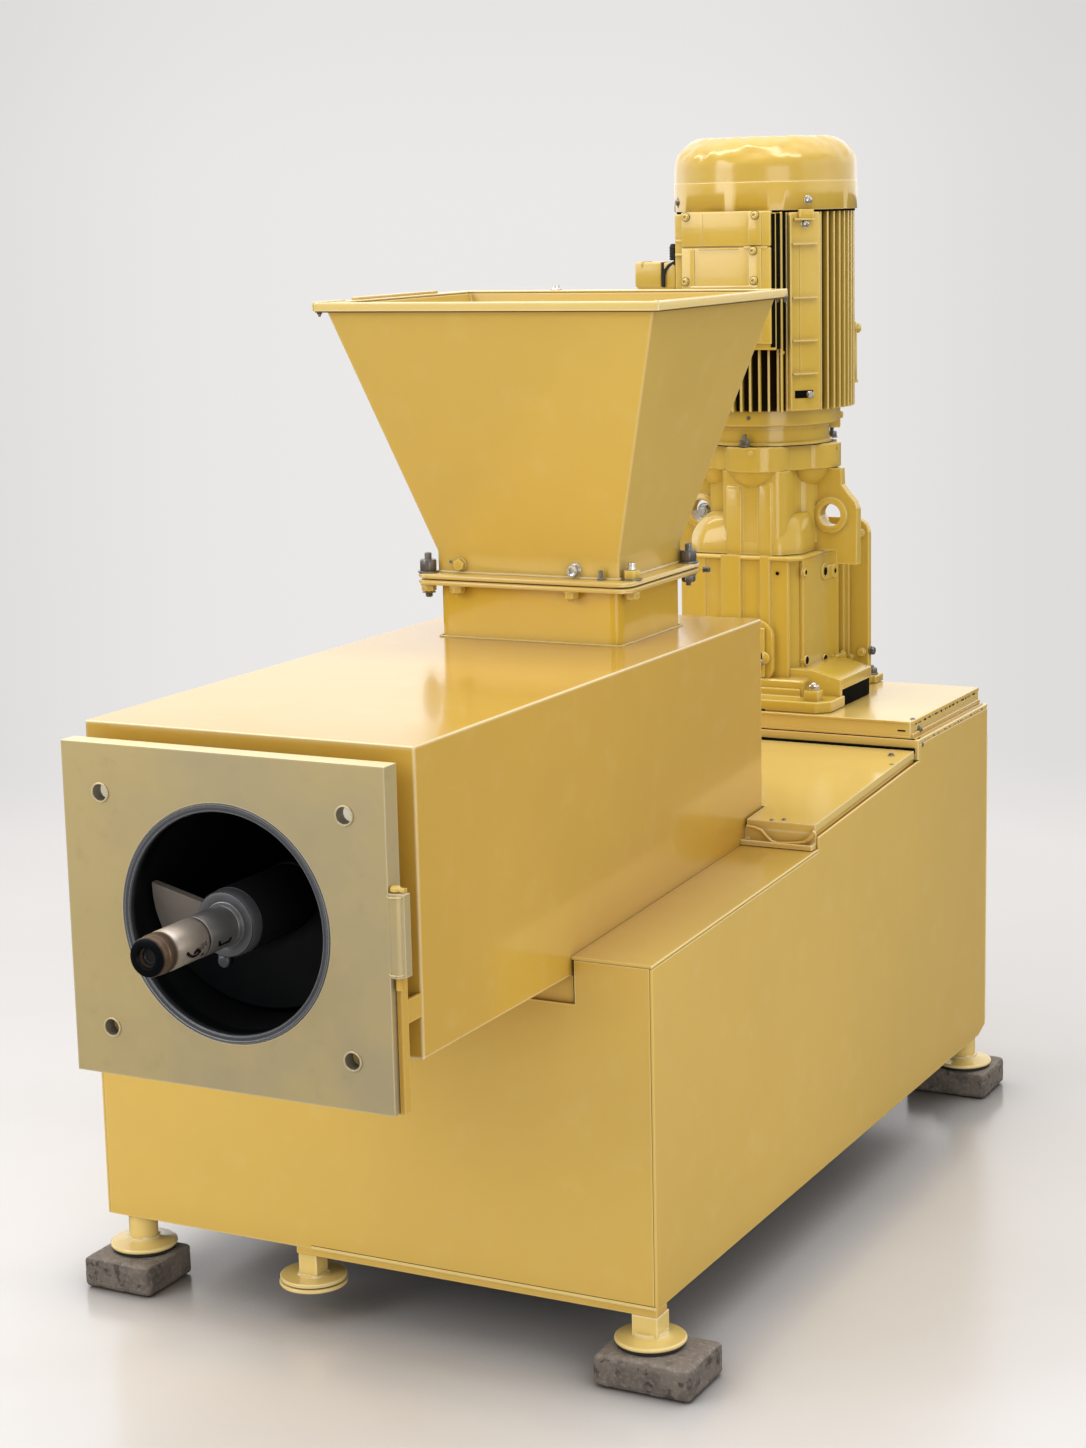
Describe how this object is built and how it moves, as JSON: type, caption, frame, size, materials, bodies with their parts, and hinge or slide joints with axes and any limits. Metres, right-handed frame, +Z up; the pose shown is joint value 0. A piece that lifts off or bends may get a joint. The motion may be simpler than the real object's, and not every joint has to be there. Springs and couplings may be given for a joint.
{
  "type": "soap plodder",
  "caption": "Worm press for soap: square barrel housing with a hinged front plate and protruding worm shaft, pyramid hopper, sheet-metal base on feet, vertical gearmotor behind.",
  "frame": {"origin": "on the floor, under the centre of the whole machine's box", "axes": "+Z up, the barrel mouth faces -Y, +X to the right seen from the front"},
  "size_m": [0.8766, 1.803, 1.478],
  "materials": {
    "sheet_paint": "glossy ochre yellow enamel on sheet steel",
    "cast_paint": "glossy ochre yellow enamel on castings",
    "plate_metal": "clear-coated bare plate, faintly brushed, warm tan",
    "ring_steel": "machined grey ring",
    "dark_steel": "oiled dark steel",
    "blade_steel": "dull grey worn steel",
    "journal_steel": "dark grey turned steel",
    "bright_steel": "worn bright steel with brown marks and a blackened end",
    "rubber": "black rubber",
    "gasket": "dark gasket sheet",
    "concrete": "rough grey brown concrete brick, matte"
  },
  "bodies": {
    "frame": {"base_front_panel": "sheet_paint", "base_right_panel": "sheet_paint", "base_left_panel": "sheet_paint", "base_rear_panel": "sheet_paint", "ledge_covers": "sheet_paint", "bottom_frame": "sheet_paint", "barrel_saddle": "sheet_paint", "deck_cover": "sheet_paint", "deck_tray": "sheet_paint", "plinth_lower": "sheet_paint", "plinth_upper": "sheet_paint", "foot_front_right": "sheet_paint", "foot_front_left": "sheet_paint", "foot_front_middle": "sheet_paint", "foot_rear_right": "sheet_paint", "foot_rear_left": "sheet_paint", "foot_pads": "rubber", "support_bricks": "concrete", "barrel_housing": "sheet_paint", "barrel_tube": "dark_steel", "neck": "sheet_paint", "neck_flange": "sheet_paint", "flange_gasket": "gasket", "hopper_flange": "sheet_paint", "hopper_body": "sheet_paint", "hopper_rim": "sheet_paint", "hinge_post": "sheet_paint", "gearbox_foot": "cast_paint", "gearbox_body": "cast_paint", "gearbox_bell": "cast_paint", "gearbox_flange": "cast_paint", "bearing_cover": "cast_paint", "rear_bracket": "cast_paint", "motor_adapter": "cast_paint", "motor_body": "cast_paint", "motor_pads": "cast_paint", "terminal_box": "cast_paint", "auxiliary_box": "cast_paint", "fan_cowl": "cast_paint"},
    "plate": {"front_plate": "plate_metal", "mouth_ring": "ring_steel"},
    "worm": {"worm_hub": "dark_steel", "worm_flight": "blade_steel", "shaft_journal": "journal_steel", "shaft_nose": "bright_steel"}
  },
  "joints": [
    {"name": "worm_spin", "type": "hinge", "parent": "frame", "child": "worm", "pos_m": [0.06075, -0.3545, 0.635], "axis": [0, 1, 0], "continuous": true},
    {"name": "front_plate_swing", "type": "hinge", "parent": "frame", "child": "plate", "pos_m": [0.27225, -0.7485, 0.635], "axis": [0, 0, 1], "range_deg": [0, 100]}
  ]
}
